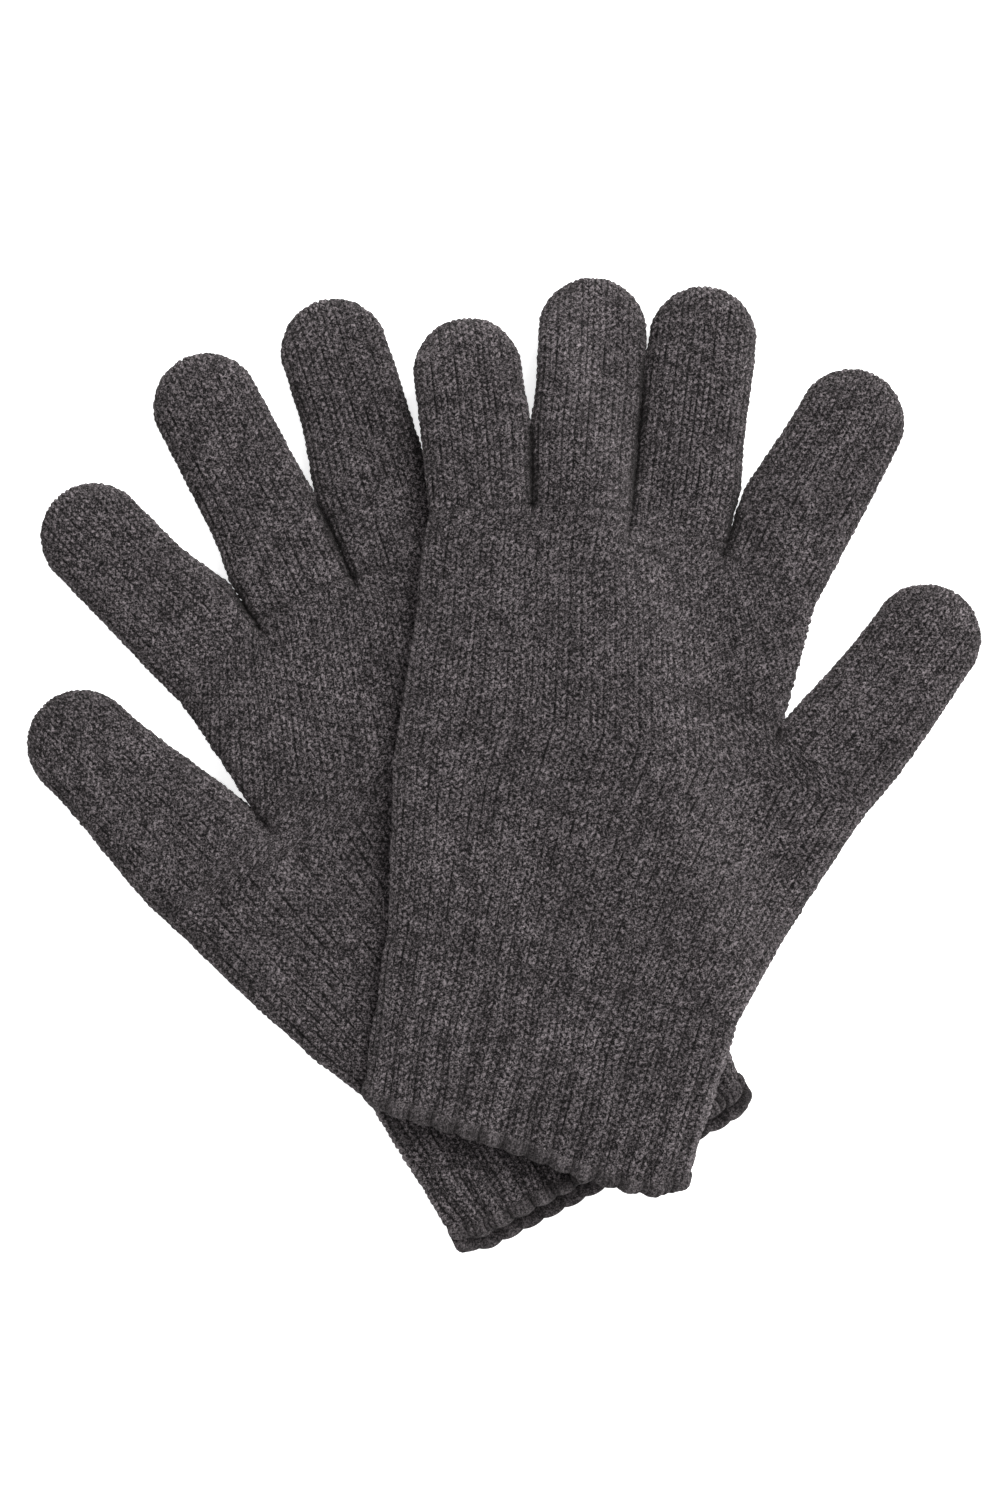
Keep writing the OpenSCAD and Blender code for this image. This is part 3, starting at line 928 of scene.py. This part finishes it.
def make_elastic(side, knit):
    """Rounds of thin elastic yarn inside the cuff."""
    points, faces = [], []
    n, loop = ELASTIC_POINTS, ELASTIC_LOOP
    f = 0.5 - 0.5 * np.cos(np.linspace(0, np.pi, n // 2, endpoint=False))
    f = np.concatenate([f, 1 - f])
    up = np.arange(n) < n // 2
    for i in range(1, ELASTIC_ROUNDS + 1):
        y = mix(HEM, CUFF, i / (ELASTIC_ROUNDS + 1)) + 0.4
        x, w = cuff_xy(side, y, f)
        for a in np.linspace(0, math.tau, loop, endpoint=False):
            depth = KNIT + 0.75 + ELASTIC_RADIUS * math.sin(a)
            ww = w - 2 * depth
            xx = x - (f - 0.5) * 2 * depth
            rise = pillow(np.minimum(f, 1 - f) * ww)
            t = (THICK / 2 - depth - 0.5) * rise
            yy = np.full_like(xx, y + ELASTIC_RADIUS * math.cos(a))
            z = THICK / 2 + np.where(up, t - hem_sink(y) * rise, -t)
            z = z + rest_height(side, xx, yy)
            qx, qy = placed(side, xx, yy)
            points.append(np.stack([qx, qy, z], -1))
        first = (i - 1) * loop * n
        for q in range(loop):
            r = (q + 1) % loop
            for c in range(n):
                k = (c + 1) % n
                faces.append([first + q * n + c, first + r * n + c, first + r * n + k, first + q * n + k])
    if PLACES[side].mirror > 0:
        faces = [g[::-1] for g in faces]
    flat = np.concatenate(points) * MM
    piece = new_mesh(f"{side}_cuff_elastic_yarn", flat, faces, None, {"crest_and_painted_shade": np.full(len(flat), 0.6)})
    cuff_body(side, piece)
    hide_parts(f"{side}_cuff_elastic")
    piece.data.materials.append(yarn_material("elastic yarn", knit))
    return piece


# ---- materials ----


# Noise in the wool: each one's scale a metre, detail and roughness.
WOBBLE = (1500, 2, 0.6)
FLECK = (2300, 2, 0.6)
STRAND = (1250, 2, 0.6)
CLOUD = (75, 3, 0.6)
FIBRE = (2600, 3, 0.7)
# Scale of the cells of one fibre's colour, how far the wobble bends their edges in metres,
# and their share of the fleck.
CELL_SCALE = 2100
CELL_BEND = 0.0009
CELL_SHARE = 0.3
# How much painted light a stitch's crest adds to the fibres.
CREST_PAINTED_LIGHT = 0.14
# Flecks at which the wool is at its darkest, middle and lightest grey.
DARK_AT, MIDDLE_AT, LIGHT_AT = 0.57, 0.735, 0.95
# Middle part of a noise's range, and what strands and clouds turn it into.
NOISE_RANGE = (0.3, 0.7)
STRAND_TONE = (0.6, 1.42)
CLOUD_TONE = (0.8, 1.2)
# Crest and the tone it is given: painted shade in the grooves between stitches and painted light on their
# crests.
CREST_RANGE = (0.0, 0.95)
CREST_TONE = (0.0, 2.05)
# Height of the hairs, in metres.
HAIR = 0.0007
# Dark and light fibres of sewing yarn, as multiples of its grey.
YARN_DARK = 0.25
YARN_LIGHT = 3.2


def wool_tree(name, dark, mid, light):
    """Carded wool in three greys: flecks along the yarn, soft clouds and a hairy surface, with painted shade
    and light from the crest attribute.
    """
    material = bpy.data.materials.get(name)
    if material:
        return material
    material = bpy.data.materials.new(name)
    material.use_nodes = True
    tree = material.node_tree
    nodes = tree.nodes
    link = tree.links.new
    shader = nodes["Principled BSDF"]
    shader.inputs["Roughness"].default_value = 0.92
    shader.inputs["Specular IOR Level"].default_value = 0.1
    shader.inputs["Sheen Weight"].default_value = 0.11
    shader.inputs["Sheen Roughness"].default_value = 0.45
    shader.inputs["Sheen Tint"].default_value = (0.62, 0.57, 0.56, 1)
    where = nodes.new("ShaderNodeTexCoord").outputs["Object"]

    def noise(scale, detail, rough):
        node = nodes.new("ShaderNodeTexNoise")
        node.inputs["Scale"].default_value = scale
        node.inputs["Detail"].default_value = detail
        node.inputs["Roughness"].default_value = rough
        link(where, node.inputs["Vector"])
        return node.outputs

    def remapped(source, old, new):
        node = nodes.new("ShaderNodeMapRange")
        node.inputs["From Min"].default_value, node.inputs["From Max"].default_value = old
        node.inputs["To Min"].default_value, node.inputs["To Max"].default_value = new
        link(source, node.inputs["Value"])
        return node.outputs["Result"]

    def added(source, share, base):
        node = nodes.new("ShaderNodeMath")
        node.operation = "MULTIPLY_ADD"
        node.inputs[1].default_value = share
        link(source, node.inputs[0])
        link(base, node.inputs[2])
        return node.outputs["Value"]

    def product(a, b):
        node = nodes.new("ShaderNodeMath")
        node.operation = "MULTIPLY"
        link(a, node.inputs[0])
        link(b, node.inputs[1])
        return node.outputs["Value"]

    # Each cell is one fibre's grey, and the wobble keeps the cells from looking straight-edged.
    bent = nodes.new("ShaderNodeVectorMath")
    bent.operation = "MULTIPLY_ADD"
    bent.inputs[1].default_value = (CELL_BEND,) * 3
    link(noise(*WOBBLE)["Color"], bent.inputs[0])
    link(where, bent.inputs[2])
    cells = nodes.new("ShaderNodeTexVoronoi")
    cells.inputs["Scale"].default_value = CELL_SCALE
    link(bent.outputs["Vector"], cells.inputs["Vector"])
    grey = nodes.new("ShaderNodeSeparateColor")
    link(cells.outputs["Color"], grey.inputs["Color"])
    fleck = added(grey.outputs["Red"], CELL_SHARE, noise(*FLECK)["Fac"])
    # The crest attribute carries painted shade and painted light from the stitches, creases, ribs, clefts
    # and folded edges.
    attribute = nodes.new("ShaderNodeAttribute")
    attribute.attribute_name = "crest_and_painted_shade"
    crest_and_painted_shade = attribute.outputs["Fac"]
    # Painted light and shade: the flecks are lighter on the stitches' crests and darker in the grooves
    # between them.
    ramp = nodes.new("ShaderNodeValToRGB")
    ramp.color_ramp.elements[0].position = DARK_AT
    ramp.color_ramp.elements[0].color = (*dark, 1)
    ramp.color_ramp.elements[1].position = LIGHT_AT
    ramp.color_ramp.elements[1].color = (*light, 1)
    middle = ramp.color_ramp.elements.new(MIDDLE_AT)
    middle.color = (*mid, 1)
    link(added(crest_and_painted_shade, CREST_PAINTED_LIGHT, fleck), ramp.inputs["Fac"])
    # Strands and clouds lighten and darken the flecks, and painted shade darkens the grooves between
    # stitches.
    strands = remapped(noise(*STRAND)["Fac"], NOISE_RANGE, STRAND_TONE)
    clouds = remapped(noise(*CLOUD)["Fac"], NOISE_RANGE, CLOUD_TONE)
    shade = product(product(strands, clouds), remapped(crest_and_painted_shade, CREST_RANGE, CREST_TONE))
    tone = nodes.new("ShaderNodeVectorMath")
    tone.operation = "SCALE"
    link(ramp.outputs["Color"], tone.inputs[0])
    link(shade, tone.inputs["Scale"])
    link(tone.outputs["Vector"], shader.inputs["Base Color"])
    bump = nodes.new("ShaderNodeBump")
    bump.inputs["Strength"].default_value = 1.0
    bump.inputs["Distance"].default_value = HAIR
    link(noise(*FIBRE)["Fac"], bump.inputs["Height"])
    link(bump.outputs["Normal"], shader.inputs["Normal"])
    return material


def scaled(colour, factor):
    return tuple(c * factor for c in colour)


def wool(knit):
    """Wool of the knitted tubes."""
    c = tuple(knit.wool)[:3]
    return wool_tree("charcoal wool", scaled(c, knit.dark), c, scaled(c, knit.light))


def yarn_material(name, knit):
    """Wool of one of the sewing yarns."""
    c = tuple(knit.yarn)[:3]
    return wool_tree(name, scaled(c, YARN_DARK), c, scaled(c, YARN_LIGHT))


# ---- settings ----


class KnitSettings(bpy.types.PropertyGroup):
    wale: bpy.props.FloatProperty(
        name="Stitch width", description="Width of one column of stitches",
        default=0.00305, min=0.002, max=0.005, subtype="DISTANCE", unit="LENGTH", precision=5,
    )
    course: bpy.props.FloatProperty(
        name="Stitch height", description="Height of one row of stitches",
        default=0.0018, min=0.001, max=0.004, subtype="DISTANCE", unit="LENGTH", precision=5,
    )
    relief: bpy.props.FloatProperty(
        name="Stitch relief", description="Height of a stitch above the ground of the knit",
        default=0.00085, min=0.0, max=0.0012, subtype="DISTANCE", unit="LENGTH", precision=5,
    )
    rib: bpy.props.FloatProperty(
        name="Rib relief", description="Depth of the grooves between the cuff's ribs",
        default=0.0012, min=0.0, max=0.003, subtype="DISTANCE", unit="LENGTH", precision=5,
    )
    bend: bpy.props.FloatProperty(
        name="Bend length", description="Length of knit that bends where a digit or the cuff folds",
        default=0.014, min=0.005, max=0.03, subtype="DISTANCE", unit="LENGTH", precision=5,
    )
    wool: bpy.props.FloatVectorProperty(
        name="Wool", description="Middle grey of the carded wool",
        default=(0.0188, 0.0166, 0.0174), min=0.0, max=1.0, size=3, subtype="COLOR",
    )
    yarn: bpy.props.FloatVectorProperty(
        name="Sewing yarn", description="Grey of the yarn in the hem and inside the glove",
        default=(0.0212, 0.0188, 0.0196), min=0.0, max=1.0, size=3, subtype="COLOR",
    )
    dark: bpy.props.FloatProperty(
        name="Dark fibres", description="Darkest fibres, as a share of the middle grey",
        default=0.04, min=0.02, max=1.0, subtype="FACTOR",
    )
    light: bpy.props.FloatProperty(
        name="Light fibres", description="Lightest fibres, as a multiple of the middle grey",
        default=5.0, min=1.0, max=8.0,
    )


class StageSettings(bpy.types.PropertyGroup):
    floor: bpy.props.FloatVectorProperty(
        name="Floor", description="Colour of the table that the gloves lie on",
        default=(0.93, 0.93, 0.93), min=0.0, max=1.0, size=3, subtype="COLOR",
    )
    glow: bpy.props.FloatProperty(
        name="Floor glow", description="Light that the table gives back, which softens the shadows",
        default=0.7, min=0.0, max=2.0,
    )
    height: bpy.props.FloatProperty(
        name="Camera height", description="Height of the camera over the table",
        default=1.3, min=0.5, max=3.0, subtype="DISTANCE", unit="LENGTH",
    )
    span: bpy.props.FloatProperty(
        name="Span", description="Length of table in the picture from top to bottom",
        default=0.405, min=0.1, max=1.0, subtype="DISTANCE", unit="LENGTH",
    )
    key: bpy.props.FloatProperty(
        name="Key light", description="Power of the soft light at the upper right",
        default=98.0, min=0.0, max=500.0, unit="POWER",
    )
    sky: bpy.props.FloatProperty(
        name="Fill light", description="Strength of the even light from all round",
        default=0.84, min=0.0, max=3.0,
    )


# ---- operators ----

# All in metres: side and depth of the table, and the point that lights and camera look at.
TABLE_SIZE = 6.0
TABLE_DEPTH = 0.0004
LOOK_AT = (-0.0019, 0.0038, 0.0)
# Place and size of each light, and its share of the key light's power.
LIGHTS = {
    "key": ((1.1, 1.7, 2.1), 1.6, 1.0),
    "side": ((2.4, 0.2, 1.4), 1.8, 0.35),
}
# Height of the camera's sensor in millimetres, and of the plane in metres where the span is seen.
SENSOR = 36.0
SPAN_HEIGHT = 0.008


class GLOVES_OT_stage(bpy.types.Operator):
    """Makes the pale table, the soft lights and the camera that looks straight down"""

    bl_idname = "gloves.stage"
    bl_label = "Stage"

    def execute(self, context):
        stage = context.scene.gloves_stage
        bpy.ops.object.select_all(action="DESELECT")
        bpy.ops.mesh.primitive_plane_add(size=TABLE_SIZE, location=(0, 0, -TABLE_DEPTH))
        floor = context.object
        floor.name = "table_top"
        bpy.ops.object.transform_apply(location=True, rotation=True, scale=True)
        material = bpy.data.materials.new("pale table")
        material.use_nodes = True
        shader = material.node_tree.nodes["Principled BSDF"]
        shader.inputs["Base Color"].default_value = (*stage.floor, 1)
        shader.inputs["Roughness"].default_value = 0.9
        shader.inputs["Specular IOR Level"].default_value = 0.1
        shader.inputs["Emission Color"].default_value = (1, 1, 1, 1)
        shader.inputs["Emission Strength"].default_value = stage.glow
        floor.data.materials.append(material)
        middle = Vector(LOOK_AT)
        for name, (place, size, share) in LIGHTS.items():
            bpy.ops.object.light_add(type="AREA", location=place)
            light = context.object
            light.name = f"{name}_light"
            light.data.size = size
            light.data.energy = stage.key * share
            light.rotation_euler = (middle - Vector(place)).to_track_quat("-Z", "Y").to_euler()
        world = bpy.data.worlds.new("soft room")
        world.use_nodes = True
        world.node_tree.nodes["Background"].inputs["Color"].default_value = (1, 1, 1, 1)
        world.node_tree.nodes["Background"].inputs["Strength"].default_value = stage.sky
        context.scene.world = world
        bpy.ops.object.camera_add(location=(middle.x, middle.y, stage.height), rotation=(0, 0, 0))
        camera = context.object
        camera.name = "overhead_camera"
        camera.data.sensor_fit = "VERTICAL"
        camera.data.sensor_height = SENSOR
        camera.data.lens = SENSOR * (stage.height - SPAN_HEIGHT) / stage.span
        camera.data.clip_end = 20.0
        context.scene.camera = camera
        context.scene.view_settings.view_transform = "Standard"
        bpy.ops.object.select_all(action="DESELECT")
        return {"FINISHED"}


def checked(piece):
    """An operator that made nothing raises an error, because a cancelled one wouldn't stop the script."""
    if piece is None or not len(piece.data.polygons):
        raise RuntimeError("a piece of the gloves has no faces")
    return piece


class GLOVES_OT_hands(bpy.types.Operator):
    """Knits the two hands, from the wrist to the knuckles and round the thumb's opening"""

    bl_idname = "gloves.hands"
    bl_label = "Hands"

    def execute(self, context):
        for side in ("right", "left"):
            checked(make_hand(side, context.scene.gloves_knit))
        return {"FINISHED"}


class GLOVES_OT_digits(bpy.types.Operator):
    """Knits the ten digits, each a tube that is closed at its tip"""

    bl_idname = "gloves.digits"
    bl_label = "Fingers and thumbs"

    def execute(self, context):
        for side in ("right", "left"):
            for name in DIGIT_NAMES:
                checked(make_digit(side, name, context.scene.gloves_knit))
        return {"FINISHED"}


class GLOVES_OT_cuffs(bpy.types.Operator):
    """Knits the two cuffs in 1 x 1 rib"""

    bl_idname = "gloves.cuffs"
    bl_label = "Cuffs"

    def execute(self, context):
        for side in ("right", "left"):
            checked(make_cuff(side, context.scene.gloves_knit))
        return {"FINISHED"}


class GLOVES_OT_hems(bpy.types.Operator):
    """Overlocks the edge of each cuff"""

    bl_idname = "gloves.hems"
    bl_label = "Hems"

    def execute(self, context):
        for side in ("right", "left"):
            checked(make_hem(side, context.scene.gloves_knit))
        return {"FINISHED"}


class GLOVES_OT_elastics(bpy.types.Operator):
    """Lays the rounds of elastic yarn inside each cuff"""

    bl_idname = "gloves.elastics"
    bl_label = "Elastic yarn"

    def execute(self, context):
        for side in ("right", "left"):
            checked(make_elastic(side, context.scene.gloves_knit))
        return {"FINISHED"}


class GLOVES_OT_yarns(bpy.types.Operator):
    """Gives the yarn that gathers each fingertip its wool"""

    bl_idname = "gloves.yarns"
    bl_label = "Closing yarn"

    def execute(self, context):
        for side in ("right", "left"):
            for name in DIGIT_NAMES:
                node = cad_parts[f"{side}_{name}_tip_yarn"]
                node.data.materials.clear()
                node.data.materials.append(yarn_material("closing yarn", context.scene.gloves_knit))
        return {"FINISHED"}


class GLOVES_PT_panel(bpy.types.Panel):
    """Sizes and colours of the gloves, and a button for each of their pieces"""

    bl_idname = "GLOVES_PT_panel"
    bl_label = "Knitted gloves"
    bl_space_type = "VIEW_3D"
    bl_region_type = "UI"
    bl_category = "Gloves"

    def draw(self, context):
        layout = self.layout
        for group in (context.scene.gloves_knit, context.scene.gloves_stage):
            box = layout.box()
            for key in group.__annotations__:
                box.prop(group, key)
        for step in STEPS:
            layout.operator(step.bl_idname)


STEPS = (
    GLOVES_OT_stage,
    GLOVES_OT_hands,
    GLOVES_OT_digits,
    GLOVES_OT_cuffs,
    GLOVES_OT_hems,
    GLOVES_OT_elastics,
    GLOVES_OT_yarns,
)
CLASSES = (KnitSettings, StageSettings, *STEPS, GLOVES_PT_panel)


def register():
    for cls in CLASSES:
        bpy.utils.register_class(cls)
    bpy.types.Scene.gloves_knit = bpy.props.PointerProperty(type=KnitSettings)
    bpy.types.Scene.gloves_stage = bpy.props.PointerProperty(type=StageSettings)


def unregister():
    del bpy.types.Scene.gloves_stage
    del bpy.types.Scene.gloves_knit
    for cls in reversed(CLASSES):
        bpy.utils.unregister_class(cls)


def main():
    register()
    for step in STEPS:
        group, name = step.bl_idname.split(".")
        getattr(getattr(bpy.ops, group), name)()


if __name__ == "__main__":
    main()
